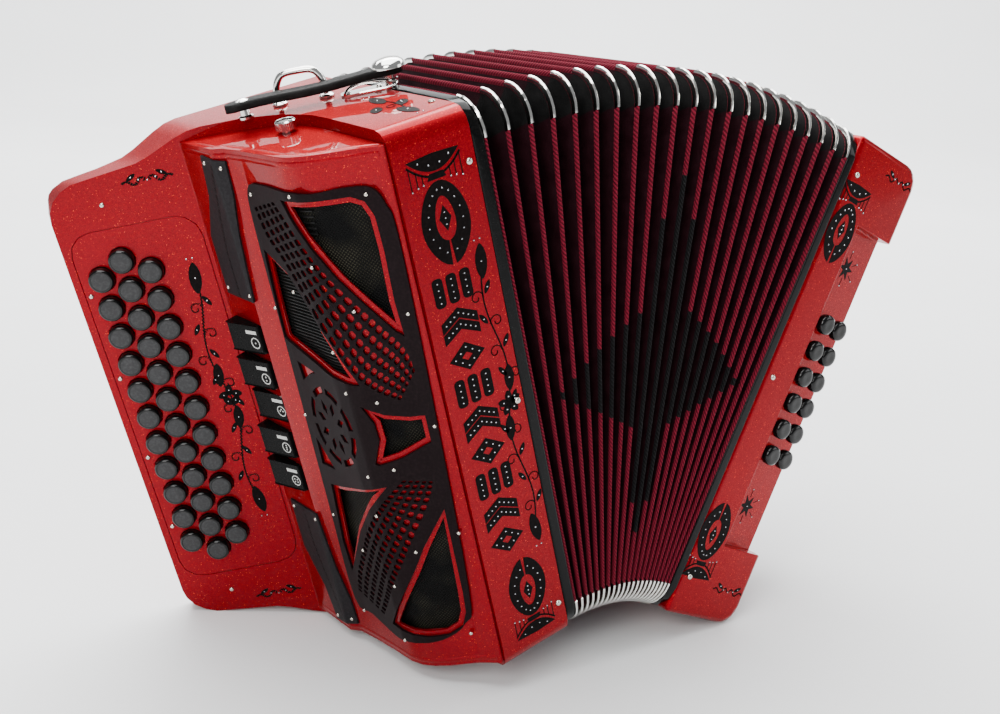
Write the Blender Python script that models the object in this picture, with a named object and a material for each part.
"""Three-row diatonic button accordion, standing open like a fan on a flat surface.

The design is drawn in millimetres in three frames: the treble box, the middle bellows fold and
the bass box. In each of them X points from the treble side to the bass side, Y from the front
(the audience) to the back (the player), and Z up along the box. X = 0 is the bellows edge of the
box, Y = 0 its front face, and Z = 0 the lower end of the straight part of a fold's front edge.
"""

import math

import bmesh
import bpy
from mathutils import Matrix, Vector

MM = 0.001
GAP = 0.3

# Boxes and bellows
BOX_DEPTH = 165.0
BOX_EDGE = 300.0
CORNER_RADIUS = 18.8
MIDDLE_Z = BOX_EDGE / 2.0
HALF_HEIGHT = MIDDLE_Z + CORNER_RADIUS
FOLDS = 20
FAN_ANGLE = math.radians(39.6)
FAN_DROP = math.radians(2.3)
FIRST_PITCH = 4.5
LAST_PITCH = 3.3
CLOSED_PITCH = 4.4
FOLD_DEPTH = 22.0
SKIN = 1.6
MIDDLE_FOLD_HALF = 1.0
FRAME_THICKNESS = 6.8
FRAME_WIDTH = 13.0
LEAN = math.radians(16.7)

# Treble casing with its wing, which carries the fingerboard
CASING_LEFT = -56.0
WALL = 4.0
CASING_EDGE_RADIUS = 11.0
KEY_TILT = math.radians(31.5)
KEY_PLANE = 63.0
WING_LEFT = -184.0
WING_LENGTH = 138.4
WING_THICKNESS = 12.0
WING_STEP_START = -100.0
WING_STEP_END = -142.0
WING_STEP_DROP = 14.5
WING_SLOPE_DROP = 6.0
WING_CORNER_RADIUS = 22.0
PLATE_HALF_HEIGHT = 121.0
PLATE_START = 56.0
PLATE_END = 133.5
PLATE_CORNER_RADIUS = 14.0
PLATE_THICKNESS = 3.7
PLATE_LEDGE = 4.5
LEDGE_THICKNESS = 2.0
WELL_DEPTH = 9.7

# Treble buttons
BUTTON_PITCH = 18.45
ROW_PITCH = 14.8
ROW_COUNTS = (11, 12, 11)
MIDDLE_ROW_ACROSS = 105.7
BUTTON_RADIUS = 7.4
BUTTON_HOLE_RADIUS = 7.9
BUTTON_HEIGHT = 5.0
BUTTON_SKIRT = 5.5
BUTTON_CHAMFER = 1.2
BUTTON_TRAVEL = 3.0
BUTTON_SIDES = 12

# Grille cover, measured along its face from the groove beside the casing
COVER_HALF_HEIGHT = 162.5
COVER_WALL = 3.2
COVER_EDGE_RADIUS = 7.0
COVER_FACE = [(-58.2, 2.5), (-67, 12.5), (-82, 24.5), (-88, 30.5), (-93, 37.5), (-96, 46), (-98, 62),
              (-101, 82), (-104, 97), (-108.5, 104), (-111.4, 141.2)]
CASING_SHOULDER = [(-56, 64), (-57, 78), (-60, 91), (-65, 103), (-72, 113), (-81, 123.5)]
WINDOW_START = 12.0
WINDOW_END = 97.0
WINDOW_HALF_HEIGHT = 136.0
FRET_THICKNESS = 1.5

# Register switches
SWITCH_COUNT = 5
SWITCH_PITCH = 23.6
SWITCH_HEIGHT = 18.0
SWITCH_START = 1.5
SWITCH_WIDTH = 31.0
SWITCH_OUT = 8.0
SWITCH_TRAVEL = 3.5
PRESSED_SWITCH = 3

# Bass box
BASS_WIDTH = 77.0
BASS_HALF_HEIGHT = 168.0
BASS_CORNER_RADIUS = 15.0
BASS_WALL = 5.0
RECESS_START = 37.0
RECESS_HALF_HEIGHT = 115.0
RECESS_DEPTH = 7.0
RECESS_SLOPE = 0.12
BASS_BUTTON_PITCH = 18.9
BASS_ROWS = (46.0, 62.5)
BASS_ROW_NAMES = ("inner", "outer")
BASS_PER_ROW = 6
BASS_CAP_RADIUS = 6.8
BASS_CAP_HEIGHT = 6.0
BASS_STEM_RADIUS = 3.2
BASS_STEM_HOLE = 3.8
BASS_TRAVEL = 3.5
END_COVER_THICKNESS = 2.5
AIR_BUTTON_RADIUS = 7.0
AIR_BUTTON_TRAVEL = 4.0
AIR_BUTTON_PLACE = (58.0, BOX_DEPTH, 262.0)
HAND_STRAP_RISE = 30.0
HAND_STRAP_THICKNESS = 3.0
HAND_STRAP_HALF_LENGTH = 128.0
HAND_STRAP_EDGES = (62.0, 122.0)

# Fittings on top of the treble casing
KNOB_PLACE = (-70.0, 86.0)
BRACKET_FEET = ((-57.0, 124.0), (-33.0, 107.0))
BRACKET_RADIUS = 2.0
BRACKET_RISE = (9.0, 18.0, 21.0)
CLOSING_STRAP_ENDS = ((-82.0, 121.0), (1.0, 81.0))
CLOSING_STRAP_HALF_WIDTH = 6.0
CLOSING_STRAP_THICKNESS = 3.6
CLOSING_STRAP_LIFT = 5.0

# Order in which an outline's two coordinates and its extrusion fill X, Y and Z
AXIS_ORDER = {"Z": (0, 1, 2), "Y": (0, 2, 1), "X": (1, 2, 0)}

RED = ("red_lacquer", (0.55, 0.02, 0.03), 0.22, 0.35)
BLACK = ("black_lacquer", (0.012, 0.012, 0.013), 0.25, 0.0)
BUTTON_BLACK = ("button_black", (0.02, 0.02, 0.022), 0.3, 0.0)
BELLOWS = ("bellows_card", (0.16, 0.008, 0.02), 0.8, 0.0)
CHROME = ("chrome_steel", (0.75, 0.75, 0.74), 0.12, 1.0)
LEATHER = ("black_leather", (0.02, 0.02, 0.02), 0.6, 0.0)
CLOTH = ("grille_cloth", (0.03, 0.03, 0.028), 0.8, 0.0)
WOOD = ("reed_wood", (0.45, 0.28, 0.13), 0.6, 0.0)


# ---------------------------------------------------------------- scene and material helpers

def clear_scene():
    """Remove every object already in the scene."""
    for obj in list(bpy.data.objects):
        bpy.data.objects.remove(obj, do_unlink=True)


def material(look):
    """Return the Principled material for one look tuple: name, colour, roughness, metallic."""
    name, colour, roughness, metallic = look
    found = bpy.data.materials.get(name)
    if found:
        return found
    made = bpy.data.materials.new(name)
    made.use_nodes = True
    shader = made.node_tree.nodes["Principled BSDF"]
    shader.inputs["Base Color"].default_value = (*colour, 1.0)
    shader.inputs["Roughness"].default_value = roughness
    shader.inputs["Metallic"].default_value = metallic
    made.diffuse_color = (*colour, 1.0)
    return made


def empty(name, parent=None, place=(0, 0, 0), turn_y=0.0):
    """Add an empty at a place in millimetres, turned about Y."""
    obj = bpy.data.objects.new(name, None)
    bpy.context.collection.objects.link(obj)
    obj.location = Vector(place) * MM
    obj.rotation_euler = (0.0, turn_y, 0.0)
    obj.parent = parent
    return obj


def mesh_object(name, bm, look, parent, place=(0, 0, 0)):
    """Turn a bmesh drawn in millimetres into a named object under a parent."""
    bmesh.ops.recalc_face_normals(bm, faces=bm.faces)
    if bm.calc_volume(signed=True) < 0.0:
        bmesh.ops.reverse_faces(bm, faces=bm.faces)
    bmesh.ops.scale(bm, vec=(MM, MM, MM), verts=bm.verts)
    mesh = bpy.data.meshes.new(name)
    bm.to_mesh(mesh)
    bm.free()
    obj = bpy.data.objects.new(name, mesh)
    bpy.context.collection.objects.link(obj)
    mesh.materials.append(material(look))
    obj.parent = parent
    obj.location = Vector(place) * MM
    return obj


def smooth(obj, angle_deg=30.0):
    """Shade an object smooth, keeping edges sharper than an angle."""
    obj.data.shade_smooth()
    obj.data.set_sharp_from_angle(angle=math.radians(angle_deg))


def add_bevel(obj, width, segments, angle_deg=50.0):
    """Round the edges of an object that are sharper than an angle."""
    mod = obj.modifiers.new("edge_rounding", "BEVEL")
    mod.width = width * MM
    mod.segments = segments
    mod.limit_method = "ANGLE"
    mod.angle_limit = math.radians(angle_deg)


def add_boolean(obj, other, operation="DIFFERENCE"):
    """Combine an object with a hidden one."""
    mod = obj.modifiers.new(operation.lower(), "BOOLEAN")
    mod.operation = operation
    mod.solver = "EXACT"
    mod.object = other
    other.hide_render = True
    other.display_type = "WIRE"


# ---------------------------------------------------------------- outline helpers

def placed(values, axis):
    """Put two outline coordinates and a position along the axis into X, Y, Z order."""
    point = [0.0, 0.0, 0.0]
    for value, slot in zip(values, AXIS_ORDER[axis]):
        point[slot] = value
    return point


def prism(outline, low, high, axis="Z"):
    """Extrude a closed outline from low to high along an axis.

    The outline is (x, y) for axis Z, (x, z) for axis Y and (y, z) for axis X.
    """
    bm = bmesh.new()
    face = bm.faces.new([bm.verts.new(placed((a, b, low), axis)) for a, b in outline])
    top = bmesh.ops.extrude_face_region(bm, geom=[face])
    moved = [item for item in top["geom"] if isinstance(item, bmesh.types.BMVert)]
    bmesh.ops.translate(bm, verts=moved, vec=placed((0.0, 0.0, high - low), axis))
    return bm


def ring(outer, inner, low, high):
    """Extrude the band between two (y, z) outlines that have the same number of points along X."""
    return closed_tube([[(x, y, z) for y, z in outline]
                        for outline, x in ((outer, low), (outer, high), (inner, high), (inner, low))])


def closed_tube(loops):
    """Join loops of points one after another, and the last to the first, into a closed skin."""
    bm = bmesh.new()
    rows = [[bm.verts.new(point) for point in loop] for loop in loops]
    count = len(rows[0])
    for row, following in zip(rows, rows[1:] + rows[:1]):
        for i in range(count):
            j = (i + 1) % count
            bm.faces.new((row[i], row[j], following[j], following[i]))
    return bm


def thin_tube(outside, inside):
    """Join an outer and an inner skin at both ends, splitting the twisted quads of both alike."""
    bm = bmesh.new()
    skins = [[[bm.verts.new(point) for point in loop] for loop in loops] for loops in (outside, inside)]
    count = len(outside[0])
    for rows in skins:
        for row, following in zip(rows, rows[1:]):
            for i in range(count):
                j = (i + 1) % count
                bm.faces.new((row[i], row[j], following[j]))
                bm.faces.new((row[i], following[j], following[i]))
    outer, inner = skins
    for row, facing in ((outer[0], inner[0]), (outer[-1], inner[-1])):
        for i in range(count):
            j = (i + 1) % count
            bm.faces.new((row[i], row[j], facing[j], facing[i]))
    return bm


def capped_tube(loops):
    """Join loops of points one after another and close both ends."""
    bm = bmesh.new()
    rows = [[bm.verts.new(point) for point in loop] for loop in loops]
    count = len(rows[0])
    for row, following in zip(rows, rows[1:]):
        for i in range(count):
            j = (i + 1) % count
            bm.faces.new((row[i], row[j], following[j], following[i]))
    bm.faces.new(rows[0])
    bm.faces.new(rows[-1])
    return bm


def rounded_rectangle(low_a, high_a, low_b, high_b, radius, steps=3):
    """Return the outline of a rectangle with round corners."""
    centres = ((high_a - radius, high_b - radius), (low_a + radius, high_b - radius),
               (low_a + radius, low_b + radius), (high_a - radius, low_b + radius))
    points = []
    for quarter, (a, b) in enumerate(centres):
        for step in range(steps + 1):
            angle = math.pi / 2.0 * (quarter + step / steps)
            points.append((a + radius * math.cos(angle), b + radius * math.sin(angle)))
    return points


def offset_path(path, distance):
    """Shift an open path sideways, positive to the right of its direction."""
    shifted = []
    for i, point in enumerate(path):
        before = Vector(path[max(i - 1, 0)])
        after = Vector(path[min(i + 1, len(path) - 1)])
        here = Vector(point)
        normals = [Vector((d.y, -d.x)).normalized() for d in (here - before, after - here) if d.length > 0]
        normal = sum(normals, Vector((0, 0))).normalized()
        shifted.append(tuple(here + normal * distance / normal.dot(normals[0])))
    return shifted


def along_path(path, distance):
    """Return the point at a distance along a path, and the path's direction there."""
    for start, end in zip(path, path[1:]):
        step = Vector(end) - Vector(start)
        if distance <= step.length or end is path[-1]:
            return Vector(start) + step.normalized() * distance, step.normalized()
        distance -= step.length
    return Vector(path[-1]), Vector((1, 0))


def path_stretch(path, start, end):
    """Return the part of a path between two distances along it."""
    points = [tuple(along_path(path, start)[0])]
    travelled = 0.0
    for first, second in zip(path, path[1:]):
        travelled += (Vector(second) - Vector(first)).length
        if start < travelled < end:
            points.append(second)
    return points + [tuple(along_path(path, end)[0])]


def disc(radius, height, sides=BUTTON_SIDES):
    """Return one ring of points round the Z axis."""
    turns = [2.0 * math.pi * i / sides for i in range(sides)]
    return [(radius * math.cos(t), radius * math.sin(t), height) for t in turns]


def turned(profile, sides=BUTTON_SIDES):
    """Turn a list of (radius, height) into a solid round the Z axis."""
    return capped_tube([disc(radius, height, sides) for radius, height in profile])


# ---------------------------------------------------------------- frames of the fan

def fold_edge(number):
    """Return x, z and angle of a crest of the fan, number 0 at the treble to FOLDS at the bass."""
    x, z = 0.0, 0.0
    for k in range(number):
        pitch = FIRST_PITCH + (LAST_PITCH - FIRST_PITCH) * k / (FOLDS - 1)
        heading = FAN_ANGLE * (k + 0.5) / FOLDS + FAN_DROP
        x += pitch * math.cos(heading)
        z -= pitch * math.sin(heading)
    return x, z, FAN_ANGLE * number / FOLDS


def edge_matrix(number):
    """Return the frame of a crest, in millimetres, in the treble frame."""
    x, z, angle = fold_edge(number)
    return Matrix.Translation((x, 0.0, z)) @ Matrix.Rotation(angle, 4, "Y")


def closing_pivot(first, last):
    """Return the point about which crest last turns to lie parallel to crest first when closed."""
    relative = edge_matrix(first).inverted() @ edge_matrix(last)
    angle = FAN_ANGLE * (last - first) / FOLDS
    here = Vector((relative.translation.x, relative.translation.z))
    closed = Vector((CLOSED_PITCH * (last - first), 0.0))
    turn = Matrix.Rotation(angle, 2)
    pivot = (Matrix.Identity(2) - turn).inverted() @ (closed - turn @ here)
    return edge_matrix(first) @ Vector((pivot.x, 0.0, pivot.y))


def box_outline(inset, radius):
    """Return the outline of the boxes and folds across Y and Z, drawn in by an inset."""
    return rounded_rectangle(inset, BOX_DEPTH - inset, MIDDLE_Z - HALF_HEIGHT + inset,
                             MIDDLE_Z + HALF_HEIGHT - inset, max(radius - inset / 2.0, 4.0))


# ---------------------------------------------------------------- bellows

def fold_loop(frame, shift, inset):
    """Return one loop of the bellows skin in a fold's frame."""
    return [frame @ Vector((shift, y, z)) for y, z in box_outline(inset, CORNER_RADIUS)]


def bellows_half(name, first, last, parent, shift_first, shift_last):
    """Build the pleated skin between two crests as one closed, thin-walled tube."""
    stations = [(edge_matrix(first), shift_first, 0.0)]
    for k in range(first, last):
        between = edge_matrix(k).lerp(edge_matrix(k + 1), 0.5)
        stations.append((between, 0.0, FOLD_DEPTH))
        shift = shift_last if k + 1 == last else 0.0
        stations.append((edge_matrix(k + 1), shift, 0.0))
    outside = [fold_loop(frame, shift, inset) for frame, shift, inset in stations]
    inside = [fold_loop(frame, shift, inset + SKIN) for frame, shift, inset in stations]
    return mesh_object(name, thin_tube(outside, inside), BELLOWS, parent)


def build_bellows(treble, middle, middle_offset):
    """Build both halves of the bellows and the fold in the middle that joins them."""
    half = FOLDS // 2
    end = MIDDLE_FOLD_HALF + GAP
    bellows_half("bellows_treble_half", 0, half, treble, 0.0, -end)
    bellows_half("bellows_bass_half", half, FOLDS, treble, end, 0.0)
    outer = box_outline(0.0, CORNER_RADIUS)
    inner = box_outline(FOLD_DEPTH - GAP, CORNER_RADIUS)
    fold = ring(outer, inner, -MIDDLE_FOLD_HALF, MIDDLE_FOLD_HALF)
    mesh_object("bellows_middle_fold", fold, BELLOWS, middle, middle_offset)


def bellows_frame(name, parent, low, place=(0, 0, 0)):
    """Build the black frame that holds the end of the bellows against a box."""
    outer = box_outline(-0.6, CORNER_RADIUS)
    inner = box_outline(FRAME_WIDTH, CORNER_RADIUS)
    obj = mesh_object(name, ring(outer, inner, low, low + FRAME_THICKNESS), BLACK, parent, place)
    smooth(obj)
    return obj


# ---------------------------------------------------------------- treble casing and fingerboard

def key_point(across, z=0.0, out=0.0):
    """Return a point on the fingerboard's plane: across it to the left from the casing, and out of it."""
    start = Vector((-66.0, (KEY_PLANE + 66.0 * math.sin(KEY_TILT)) / math.cos(KEY_TILT), z))
    along = Vector((-math.cos(KEY_TILT), math.sin(KEY_TILT), 0.0))
    normal = Vector((-math.sin(KEY_TILT), -math.cos(KEY_TILT), 0.0))
    return start + along * across + normal * out


def wing_height(x):
    """Return the wing's half height at x: level, then an S step down, then a gentle slope."""
    step = min(max((WING_STEP_START - x) / (WING_STEP_START - WING_STEP_END), 0.0), 1.0)
    eased = step * step * (3.0 - 2.0 * step)
    slope = max((WING_STEP_END - x) / (WING_STEP_END - WING_LEFT), 0.0)
    return HALF_HEIGHT - WING_STEP_DROP * eased - WING_SLOPE_DROP * slope


def front_outline(inset):
    """Return the casing and wing seen from the front, across X and Z, drawn in by an inset."""
    right = -FRAME_THICKNESS - 1.2 - GAP
    radius = WING_CORNER_RADIUS
    left = WING_LEFT + inset
    upper = [(right + (2.0 * WALL if inset else 0.0), HALF_HEIGHT - inset)]
    steps = 6
    for i in range(steps + 1):
        x = WING_STEP_START + (WING_STEP_END - WING_STEP_START) * i / steps
        upper.append((x, wing_height(x) - inset))
    top = wing_height(left + radius) - inset
    for i in range(steps):
        angle = math.pi / 2.0 * (1.0 + i / (steps - 1))
        upper.append((left + radius + radius * math.cos(angle), top - radius + radius * math.sin(angle)))
    lower = [(x, -z) for x, z in upper[::-1]]
    return [(x, MIDDLE_Z + z) for x, z in upper + lower]


def casing_plan(inset):
    """Return the casing and wing seen from above, across X and Y, drawn in by an inset."""
    right = -FRAME_THICKNESS - 1.2 - GAP
    open_side = right + (2.0 * WALL if inset else 0.0)
    left_front = key_point(WING_LENGTH - inset)
    left_back = key_point(WING_LENGTH - inset, out=-WING_THICKNESS)
    front = [(right, 0.0), (CASING_LEFT, 0.0)] + CASING_SHOULDER + [tuple(left_front.xy)]
    back = [tuple(left_back.xy), (-150, 184), (-112, 176), (right, BOX_DEPTH + 1.0)]
    if not inset:
        return front + back
    near = offset_path(front, inset + LEDGE_THICKNESS)
    far = offset_path(back, inset)
    near[0] = (open_side, inset + LEDGE_THICKNESS)
    far[-1] = (open_side, BOX_DEPTH - inset)
    return near + far


def build_treble_casing(treble):
    """Build the hollow casing: plan, front and end outlines cut from one block, then hollowed."""
    low = MIDDLE_Z - HALF_HEIGHT
    high = MIDDLE_Z + HALF_HEIGHT
    casing = mesh_object("treble_casing", prism(casing_plan(0.0), low - 1.0, high + 1.0), RED, treble)
    front = mesh_object("casing_front_guide", prism(front_outline(0.0), -20.0, 220.0, "Y"), RED, treble)
    section = rounded_rectangle(0.0, 230.0, low, high, CASING_EDGE_RADIUS)
    end = mesh_object("casing_end_guide", prism(section, -220.0, 10.0, "X"), RED, treble)
    room = prism(casing_plan(WALL), low - 1.0, high + 1.0)
    hollow = mesh_object("casing_hollow_cutter", room, RED, treble)
    limit = mesh_object("casing_hollow_guide", prism(front_outline(WALL), -20.0, 220.0, "Y"), RED, treble)
    seat = plate_solid(GAP, -PLATE_THICKNESS - GAP, WALL)
    pocket = mesh_object("fingerboard_pocket_cutter", seat, RED, treble)
    well = mesh_object("button_well_cutter", plate_solid(-PLATE_LEDGE, -WELL_DEPTH, WALL), RED, treble)
    add_boolean(casing, front, "INTERSECT")
    add_boolean(casing, end, "INTERSECT")
    add_boolean(hollow, limit, "INTERSECT")
    add_boolean(casing, hollow)
    add_boolean(casing, pocket)
    add_boolean(casing, well)
    return casing


def plate_solid(grow, back, front):
    """Return the fingerboard's block between two depths, grown at its rim."""
    corner = PLATE_CORNER_RADIUS + grow
    half = PLATE_HALF_HEIGHT + grow
    outline = rounded_rectangle(PLATE_START - grow, PLATE_END + grow,
                                MIDDLE_Z - half, MIDDLE_Z + half, corner)
    return capped_tube([[key_point(a, z, depth) for a, z in outline] for depth in (back, front)])


def button_places():
    """Yield row number, place along the row and position across the board for every treble button."""
    for row, count in enumerate(ROW_COUNTS):
        across = MIDDLE_ROW_ACROSS - ROW_PITCH * (row - 1)
        for i in range(count):
            yield row, i, across, MIDDLE_Z + BUTTON_PITCH * ((count - 1) / 2.0 - i)


def build_fingerboard(treble):
    """Build the plate that carries the treble buttons, with one hole for each."""
    board = mesh_object("fingerboard", plate_solid(0.0, -PLATE_THICKNESS, 0.0), RED, treble)
    holes = bmesh.new()
    turn = Matrix.Rotation(-KEY_TILT, 4, "Z") @ Matrix.Rotation(math.pi / 2.0, 4, "X")
    for _row, _place, across, z in button_places():
        cutter = Matrix.Translation(key_point(across, z)) @ turn
        bmesh.ops.create_cone(holes, cap_ends=True, segments=BUTTON_SIDES, radius1=BUTTON_HOLE_RADIUS,
                              radius2=BUTTON_HOLE_RADIUS, depth=4.0 * PLATE_THICKNESS, matrix=cutter)
    add_boolean(board, mesh_object("button_hole_cutter", holes, RED, treble))


def build_treble_buttons(treble):
    """Place one sliding button in every hole of the fingerboard."""
    top = BUTTON_HEIGHT
    profile = [(BUTTON_RADIUS, -BUTTON_SKIRT), (BUTTON_RADIUS, top - BUTTON_CHAMFER),
               (BUTTON_RADIUS - BUTTON_CHAMFER, top)]
    shared = None
    for row, i, across, z in button_places():
        name = f"treble_button_{row + 1}_{i + 1:02d}"
        if shared is None:
            obj = mesh_object(name, turned(profile), BUTTON_BLACK, treble)
            smooth(obj)
            shared = obj.data
        else:
            obj = bpy.data.objects.new(name, shared)
            bpy.context.collection.objects.link(obj)
            obj.parent = treble
        obj.location = key_point(across, z) * MM
        obj.rotation_euler = (math.pi / 2.0, 0.0, -KEY_TILT)


# ---------------------------------------------------------------- grille side

def cover_back():
    """Return the cover's rear edge, which follows the casing's shoulder at a gap."""
    shoulder = offset_path([(CASING_LEFT, 2.5)] + CASING_SHOULDER + [tuple(key_point(54.0).xy)], -GAP)
    return shoulder[::-1]


def build_grille_cover(treble):
    """Build the hollow cover that bulges from the casing in front of the pallets."""
    low = MIDDLE_Z - COVER_HALF_HEIGHT
    high = MIDDLE_Z + COVER_HALF_HEIGHT
    outline = COVER_FACE + cover_back()
    cover = mesh_object("grille_cover", prism(outline, low, high), RED, treble)
    face_inside = offset_path(COVER_FACE, COVER_WALL)
    inside = face_inside[1:] + [(-100, 150), (-60, 150), (-40, 100), (-40, 8), (-62, 8)]
    room = prism(inside, low + COVER_WALL, high - COVER_WALL)
    hollow = mesh_object("cover_hollow_cutter", room, RED, treble)
    stretch = path_stretch(COVER_FACE, WINDOW_START, WINDOW_END)
    window = offset_path(stretch, -4.0) + offset_path(stretch, 2.0 * COVER_WALL)[::-1]
    through = prism(window, MIDDLE_Z - WINDOW_HALF_HEIGHT, MIDDLE_Z + WINDOW_HALF_HEIGHT)
    opening = mesh_object("grille_window_cutter", through, RED, treble)
    add_bevel(cover, COVER_EDGE_RADIUS, 3, 60.0)
    add_boolean(cover, hollow)
    add_boolean(cover, opening)
    slots = bmesh.new()
    for i in range(SWITCH_COUNT):
        slot = switch_block(switch_height(i), GAP, -2.0 * COVER_WALL - SWITCH_TRAVEL, SWITCH_OUT)
        mesh = bpy.data.meshes.new("slot")
        slot.to_mesh(mesh)
        slot.free()
        slots.from_mesh(mesh)
        bpy.data.meshes.remove(mesh)
    add_boolean(cover, mesh_object("switch_slot_cutter", slots, RED, treble))


def build_grille_cloth(treble):
    """Build the cloth sheet behind the grille window."""
    stretch = path_stretch(COVER_FACE, WINDOW_START - 5.0, WINDOW_END + 4.0)
    near = offset_path(stretch, COVER_WALL + GAP)
    far = offset_path(stretch, COVER_WALL + GAP + 0.8)
    half = WINDOW_HALF_HEIGHT + 6.0
    mesh_object("grille_cloth", prism(near + far[::-1], MIDDLE_Z - half, MIDDLE_Z + half), CLOTH, treble)


def fret_outlines():
    """Return the fretwork's rim and windows as outlines of distance along the face and height."""
    rim_top = [(100, 0), (101, 60), (99, 118), (97, 136), (90, 143), (80, 145.5), (55, 142.5), (41, 142.5),
               (26, 144.5), (13, 143.5), (5, 137), (2, 120), (4, 60), (6, 0)]
    upper = [(63, 138.5), (41, 138), (24, 139), (15, 136), (11.5, 128), (11.5, 60), (26, 77), (38, 94.5),
             (52, 116)]
    ribbed = [(96, 108), (98.5, 54), (95, 49), (63, 38), (41, 32), (50, 51), (65, 79), (80, 98)]
    side = [(12, 12), (32, 15), (44, 20), (39.5, 8), (39, -3), (45.5, -17), (28, -14), (11, -6)]
    rim = rim_top + [(s, -z) for s, z in rim_top[-2:0:-1]]
    windows = [upper, ribbed, side]
    windows += [[(s, -z) for s, z in window] for window in (upper, ribbed)]
    return rim, windows


def bent_plate(name, rim, windows, look, parent, out, thickness):
    """Cut a plate with windows flat, then bend it round the cover's face."""
    curve = bpy.data.curves.new(name + "_outline", "CURVE")
    curve.dimensions = "2D"
    curve.fill_mode = "BOTH"
    curve.render_resolution_u = 0
    for outline in [rim] + windows:
        spline = curve.splines.new("POLY")
        spline.points.add(len(outline) - 1)
        for point, (s, z) in zip(spline.points, outline):
            point.co = (s, z, 0.0, 1.0)
        spline.use_cyclic_u = True
    flat = bpy.data.objects.new(name + "_flat", curve)
    bpy.context.collection.objects.link(flat)
    mesh = bpy.data.meshes.new_from_object(flat)
    bpy.data.objects.remove(flat, do_unlink=True)
    bm = bmesh.new()
    bm.from_mesh(mesh)
    bpy.data.meshes.remove(mesh)
    bmesh.ops.remove_doubles(bm, verts=bm.verts, dist=1e-3)
    travelled = 0.0
    for first, second in zip(COVER_FACE, COVER_FACE[1:]):
        travelled += (Vector(second) - Vector(first)).length
        everything = bm.verts[:] + bm.edges[:] + bm.faces[:]
        bmesh.ops.bisect_plane(bm, geom=everything, plane_co=(travelled, 0, 0), plane_no=(1, 0, 0))
    lifted = bmesh.ops.extrude_face_region(bm, geom=bm.faces[:])
    moved = [item for item in lifted["geom"] if isinstance(item, bmesh.types.BMVert)]
    bmesh.ops.translate(bm, verts=moved, vec=(0, 0, thickness))
    face = offset_path(COVER_FACE, -out)
    outer = offset_path(COVER_FACE, -out - thickness)
    for vert in bm.verts:
        distance, height, depth = vert.co
        share = depth / thickness
        inside, outside = (scaled_point(path, distance) for path in (face, outer))
        point = inside.lerp(outside, share)
        vert.co = (point.x, point.y, MIDDLE_Z + height)
    return mesh_object(name, bm, look, parent)


def scaled_point(path, distance):
    """Return the point of a shifted face path that lies beside a distance along the face itself."""
    for i, (first, second) in enumerate(zip(COVER_FACE, COVER_FACE[1:])):
        length = (Vector(second) - Vector(first)).length
        if distance <= length + 1e-4 or i == len(COVER_FACE) - 2:
            return Vector(path[i]).lerp(Vector(path[i + 1]), distance / length)
        distance -= length
    return Vector(path[-1])


def build_fretwork(treble):
    """Build the black fretwork plate on the cover's face."""
    rim, windows = fret_outlines()
    bent_plate("grille_fretwork", rim, windows, BLACK, treble, GAP, FRET_THICKNESS)


def switch_height(index):
    """Return the height of a register switch's middle, number 0 at the top."""
    return MIDDLE_Z + SWITCH_PITCH * ((SWITCH_COUNT - 1) / 2.0 - index)


def switch_block(z, grow, back, front, taper=0.0):
    """Return a block that stands out of the wall beside the fingerboard, tapered towards its face."""
    wall_start, wall_end = Vector(COVER_FACE[-2]), Vector(COVER_FACE[-1])
    along = (wall_end - wall_start).normalized()
    normal = Vector((-along.y, along.x))
    if normal.x > 0:
        normal = -normal
    middle = wall_start + along * (SWITCH_START + SWITCH_WIDTH / 2.0)
    half_width = SWITCH_WIDTH / 2.0 + grow
    half_height = SWITCH_HEIGHT / 2.0 + grow
    loops = []
    for depth, shrink in ((back, 0.0), (front, taper)):
        near = middle - along * (half_width - shrink / 2.0) + normal * depth
        far = middle + along * (half_width - shrink) + normal * depth
        height = half_height - shrink / 3.0
        loops.append([(near.x, near.y, z - height), (far.x, far.y, z - height),
                      (far.x, far.y, z + height), (near.x, near.y, z + height)])
    return capped_tube(loops)


def build_switches(treble):
    """Build the register switches; one of them is pressed in."""
    wall = Vector(COVER_FACE[-1]) - Vector(COVER_FACE[-2])
    inward = Vector((wall.y, -wall.x, 0.0)).normalized()
    for i in range(SWITCH_COUNT):
        sunk = SWITCH_TRAVEL if i + 1 == PRESSED_SWITCH else 0.0
        block = switch_block(switch_height(i), 0.0, -COVER_WALL - 1.0, SWITCH_OUT, 5.0)
        obj = mesh_object(f"register_switch_{i + 1}", block, BUTTON_BLACK, treble)
        obj.location = inward * sunk * MM


def build_knob(treble):
    """Build the knurled screw that holds the grille cover at the top."""
    height = MIDDLE_Z + COVER_HALF_HEIGHT + GAP
    profile = [(3.0, 0.0), (3.0, 1.5), (5.2, 2.0), (5.2, 8.0), (4.4, 9.0)]
    knob = mesh_object("grille_knob", turned(profile, 16), CHROME, treble, (*KNOB_PLACE, height))
    smooth(knob)


def bent_rod(route, radius, sides=8):
    """Build a round rod along a route of points."""
    points = [Vector(p) for p in route]
    loops = []
    reference = (points[1] - points[0]).cross(points[-1] - points[0]).normalized()
    for i, point in enumerate(points):
        before = (point - points[i - 1]).normalized() if i else None
        after = (points[i + 1] - point).normalized() if i + 1 < len(points) else None
        tangent = ((before or after) + (after or before)).normalized()
        stretch = 1.0 / tangent.dot(after or before)
        side = reference.cross(tangent).normalized()
        loops.append([point + side * radius * stretch * math.cos(a) + reference * radius * math.sin(a)
                      for a in (2.0 * math.pi * k / sides for k in range(sides))])
    return capped_tube(loops)


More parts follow.
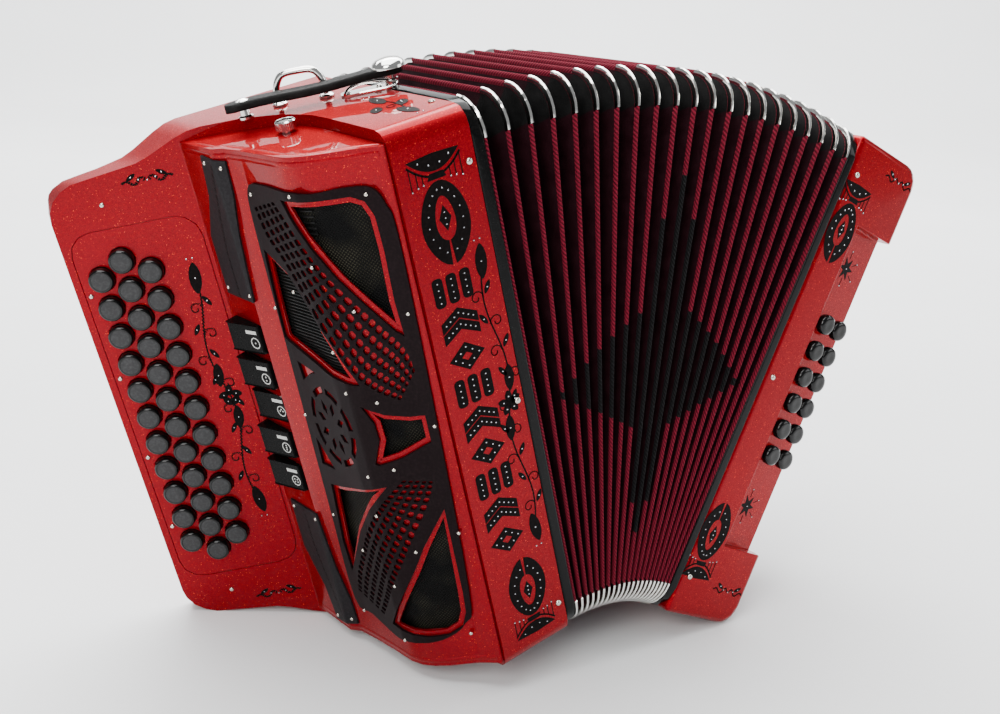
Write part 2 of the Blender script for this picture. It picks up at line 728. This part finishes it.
def build_bracket(treble, top):
    """Build the wire loop that the shoulder strap hooks into."""
    left, right = (Vector((x, y, top)) for x, y in BRACKET_FEET)
    up = Vector((0.0, 0.0, 1.0))
    low, shoulder, high = (up * rise for rise in BRACKET_RISE)
    route = [left, left + low, left.lerp(right, 0.14) + shoulder, left.lerp(right, 0.24) + high,
             left.lerp(right, 0.76) + high, left.lerp(right, 0.86) + shoulder, right + low, right]
    smooth(mesh_object("strap_bracket", bent_rod(route, BRACKET_RADIUS), CHROME, treble))


def build_closing_strap(treble, top):
    """Build the leather strap that keeps the bellows shut, with the stud it is fixed to."""
    start, end = (Vector((x, y, 0.0)) for x, y in CLOSING_STRAP_ENDS)
    along = (end - start).normalized()
    across = Vector((-along.y, along.x, 0.0))
    loops = []
    for share, width in ((0.0, 0.55), (0.02, 0.81), (0.05, 1.0), (0.95, 1.0), (0.98, 0.81), (1.0, 0.55)):
        half = CLOSING_STRAP_HALF_WIDTH * width
        centre = start.lerp(end, share) + Vector((0.0, 0.0, top + CLOSING_STRAP_LIFT + 2.0 * share))
        loops.append([centre + across * a + Vector((0.0, 0.0, b)) for a, b in
                      ((-half, 0.0), (half, 0.0), (half, CLOSING_STRAP_THICKNESS),
                       (-half, CLOSING_STRAP_THICKNESS))])
    strap = mesh_object("bellows_strap", capped_tube(loops), LEATHER, treble)
    foot = start.lerp(end, 0.1) + Vector((0.0, 0.0, top))
    stud = turned([(3.6, 0.0), (3.6, 1.2), (2.2, 2.0), (2.2, CLOSING_STRAP_LIFT + 1.5)])
    add_boolean(strap, mesh_object("strap_stud_guide", stud, CHROME, treble, foot), "UNION")


def build_top_hardware(treble):
    """Build the fittings that stand on the top face of the treble casing."""
    top = MIDDLE_Z + HALF_HEIGHT + GAP
    build_bracket(treble, top)
    build_closing_strap(treble, top)


def build_treble_reeds(treble):
    """Build the reed block on the sound board inside the treble casing."""
    section = [(-49.5, 30.0), (-49.5, 140.0), (-14.0, 128.0), (-14.0, 108.0), (-36.0, 100.0), (-36.0, 95.0),
               (-14.0, 94.0), (-14.0, 76.0), (-36.0, 75.0), (-36.0, 70.0), (-14.0, 62.0), (-14.0, 42.0)]
    mesh_object("treble_reed_block", prism(section, 20.0, 280.0), WOOD, treble)


# ---------------------------------------------------------------- bass box

def build_bass_casing(bass, place):
    """Build the bass casing, with the stepped recess in its front for the bass buttons."""
    start = 1.2 + FRAME_THICKNESS + GAP
    low, high = MIDDLE_Z - BASS_HALF_HEIGHT, MIDDLE_Z + BASS_HALF_HEIGHT
    steps = 5
    rounded = rounded_rectangle(start, BASS_WIDTH, low, high, BASS_CORNER_RADIUS, steps)
    outline = rounded[:steps + 1] + [(start, high), (start, low)] + rounded[-steps - 1:]
    casing = mesh_object("bass_casing", prism(outline, 0.0, BOX_DEPTH, "Y"), RED, bass, place)
    add_bevel(casing, 4.0, 2, 60.0)
    far = BASS_WIDTH - BASS_WALL
    hollow = prism(rounded_rectangle(start - 20.0, far, low + BASS_WALL, high - BASS_WALL, 8.0), 18.0,
                   BOX_DEPTH - BASS_WALL, "Y")
    add_boolean(casing, mesh_object("bass_hollow_cutter", hollow, RED, bass, place))
    recess = [(RECESS_START, -10.0), (RECESS_START, RECESS_DEPTH),
              (BASS_WIDTH + 10.0, RECESS_DEPTH + RECESS_SLOPE * (BASS_WIDTH + 10.0 - RECESS_START)),
              (BASS_WIDTH + 10.0, -10.0)]
    step = prism(recess, MIDDLE_Z - RECESS_HALF_HEIGHT, MIDDLE_Z + RECESS_HALF_HEIGHT)
    add_boolean(casing, mesh_object("bass_recess_cutter", step, RED, bass, place))
    holes = bmesh.new()
    for row in BASS_ROWS:
        for i in range(BASS_PER_ROW):
            middle = Matrix.Translation((row, 12.0, bass_button_height(i)))
            spot = middle @ Matrix.Rotation(math.pi / 2.0, 4, "X")
            bmesh.ops.create_cone(holes, cap_ends=True, segments=12, radius1=BASS_STEM_HOLE,
                                  radius2=BASS_STEM_HOLE, depth=30.0, matrix=spot)
    add_boolean(casing, mesh_object("bass_button_hole_cutter", holes, RED, bass, place))
    air = turned([(AIR_BUTTON_RADIUS / 2.0 + 0.6, -12.0), (AIR_BUTTON_RADIUS / 2.0 + 0.6, 12.0)])
    cutter = mesh_object("air_hole_cutter", air, RED, bass, place)
    cutter.location = Vector(place) * MM + Vector(AIR_BUTTON_PLACE) * MM
    cutter.rotation_euler = (math.pi / 2.0, 0.0, 0.0)
    add_boolean(casing, cutter)


def bass_button_height(index):
    """Return the height of a bass button, number 0 at the top."""
    return MIDDLE_Z + BASS_BUTTON_PITCH * ((BASS_PER_ROW - 1) / 2.0 - index)


def build_bass_buttons(bass, place):
    """Build each row of bass buttons on the rail that links their stems inside the casing."""
    for name, row in zip(BASS_ROW_NAMES, BASS_ROWS):
        floor = RECESS_DEPTH + RECESS_SLOPE * (row - RECESS_START)
        cap = floor - BASS_TRAVEL - 0.8
        rail_front, rail_back = 22.5, 26.5
        half_length = BASS_BUTTON_PITCH * BASS_PER_ROW / 2.0
        rail = [(row - 3.5, MIDDLE_Z - half_length), (row + 3.5, MIDDLE_Z - half_length),
                (row + 3.5, MIDDLE_Z + half_length), (row - 3.5, MIDDLE_Z + half_length)]
        bar = prism(rail, rail_front, rail_back, "Y")
        buttons = mesh_object(f"bass_button_row_{name}", bar, BUTTON_BLACK, bass, place)
        caps = bmesh.new()
        profile = [(BASS_STEM_RADIUS, cap - rail_back + 1.0), (BASS_STEM_RADIUS, 0.0),
                   (BASS_CAP_RADIUS - 1.0, 0.0), (BASS_CAP_RADIUS, 1.2),
                   (BASS_CAP_RADIUS, BASS_CAP_HEIGHT - 1.6), (BASS_CAP_RADIUS - 2.0, BASS_CAP_HEIGHT)]
        for i in range(BASS_PER_ROW):
            spot = (Matrix.Translation((row, cap, bass_button_height(i)))
                    @ Matrix.Rotation(math.pi / 2.0, 4, "X"))
            one = turned(profile)
            bmesh.ops.recalc_face_normals(one, faces=one.faces)
            bmesh.ops.transform(one, matrix=spot, verts=one.verts)
            mesh = bpy.data.meshes.new("cap")
            one.to_mesh(mesh)
            one.free()
            caps.from_mesh(mesh)
            bpy.data.meshes.remove(mesh)
        guide = mesh_object(f"bass_cap_guide_{name}", caps, BUTTON_BLACK, bass, place)
        add_boolean(buttons, guide, "UNION")


def build_bass_fittings(bass, place):
    """Build the end cover, the hand strap, the air button and the bass reed block."""
    rim = rounded_rectangle(14.0, BOX_DEPTH - 14.0, MIDDLE_Z - 150.0, MIDDLE_Z + 150.0, 10.0)
    cover = prism(rim, BASS_WIDTH + GAP, BASS_WIDTH + GAP + END_COVER_THICKNESS, "X")
    mesh_object("bass_end_cover", cover, RED, bass, place)
    base = BASS_WIDTH + 2.0 * GAP + END_COVER_THICKNESS
    outer, inner = [], []
    steps = 12
    for i in range(steps + 1):
        share = i / steps
        bow = HAND_STRAP_RISE * max(math.sin(math.pi * share), 0.0) ** 0.7
        height = MIDDLE_Z + HAND_STRAP_HALF_LENGTH * (2.0 * share - 1.0)
        outer.append((base + HAND_STRAP_THICKNESS + bow, height))
        inner.append((base + bow, height))
    band = prism(outer + inner[::-1], *HAND_STRAP_EDGES, "Y")
    strap = mesh_object("hand_strap", band, LEATHER, bass, place)
    smooth(strap)
    profile = [(AIR_BUTTON_RADIUS / 2.0, -12.0), (AIR_BUTTON_RADIUS / 2.0, AIR_BUTTON_TRAVEL + 1.0),
               (AIR_BUTTON_RADIUS, AIR_BUTTON_TRAVEL + 1.2), (AIR_BUTTON_RADIUS, AIR_BUTTON_TRAVEL + 4.5),
               (AIR_BUTTON_RADIUS - 1.5, AIR_BUTTON_TRAVEL + 6.0)]
    air = mesh_object("air_button", turned(profile), BUTTON_BLACK, bass)
    air.location = (Vector(place) + Vector(AIR_BUTTON_PLACE)) * MM
    air.rotation_euler = (-math.pi / 2.0, 0.0, 0.0)
    smooth(air)
    block = prism([(14.0, 50.0), (48.0, 62.0), (48.0, 82.0), (26.0, 92.0), (26.0, 98.0), (48.0, 108.0),
                   (48.0, 128.0), (14.0, 140.0)], 40.0, 260.0)
    mesh_object("bass_reed_block", block, WOOD, bass, place)


# ---------------------------------------------------------------- assembly

def stand_on_floor(instrument):
    """Move the whole instrument so that the origin lies under the middle of its box, on the floor."""
    bpy.context.view_layer.update()
    graph = bpy.context.evaluated_depsgraph_get()
    corners = []
    for obj in bpy.data.objects:
        if obj.type == "MESH" and not obj.hide_render:
            shape = obj.evaluated_get(graph)
            corners += [obj.matrix_world @ vert.co for vert in shape.data.vertices]
    low = Vector([min(corner[axis] for corner in corners) for axis in range(3)])
    high = Vector([max(corner[axis] for corner in corners) for axis in range(3)])
    instrument.location -= Vector(((low.x + high.x) / 2.0, (low.y + high.y) / 2.0, low.z))
    bpy.context.view_layer.update()


def build():
    """Build the accordion."""
    clear_scene()
    instrument = empty("instrument", turn_y=-LEAN)
    half = FOLDS // 2
    middle_pivot = closing_pivot(0, half)
    bass_pivot = closing_pivot(half, FOLDS)
    middle = empty("middle_hinge", instrument, middle_pivot, fold_edge(half)[2])
    bass = empty("bass_hinge", instrument, bass_pivot, fold_edge(FOLDS)[2])
    middle_offset = (Matrix.Rotation(-fold_edge(half)[2], 4, "Y")
                     @ (edge_matrix(half).translation - middle_pivot))
    bass_offset = (Matrix.Rotation(-fold_edge(FOLDS)[2], 4, "Y")
                   @ (edge_matrix(FOLDS).translation - bass_pivot))

    build_treble_casing(instrument)
    build_fingerboard(instrument)
    build_treble_buttons(instrument)
    build_grille_cover(instrument)
    build_grille_cloth(instrument)
    build_fretwork(instrument)
    build_switches(instrument)
    build_knob(instrument)
    build_top_hardware(instrument)
    build_treble_reeds(instrument)
    bellows_frame("treble_bellows_frame", instrument, -FRAME_THICKNESS - 1.2)
    build_bellows(instrument, middle, middle_offset)
    bellows_frame("bass_bellows_frame", bass, 1.2, bass_offset)
    build_bass_casing(bass, bass_offset)
    build_bass_buttons(bass, bass_offset)
    build_bass_fittings(bass, bass_offset)
    stand_on_floor(instrument)


build()
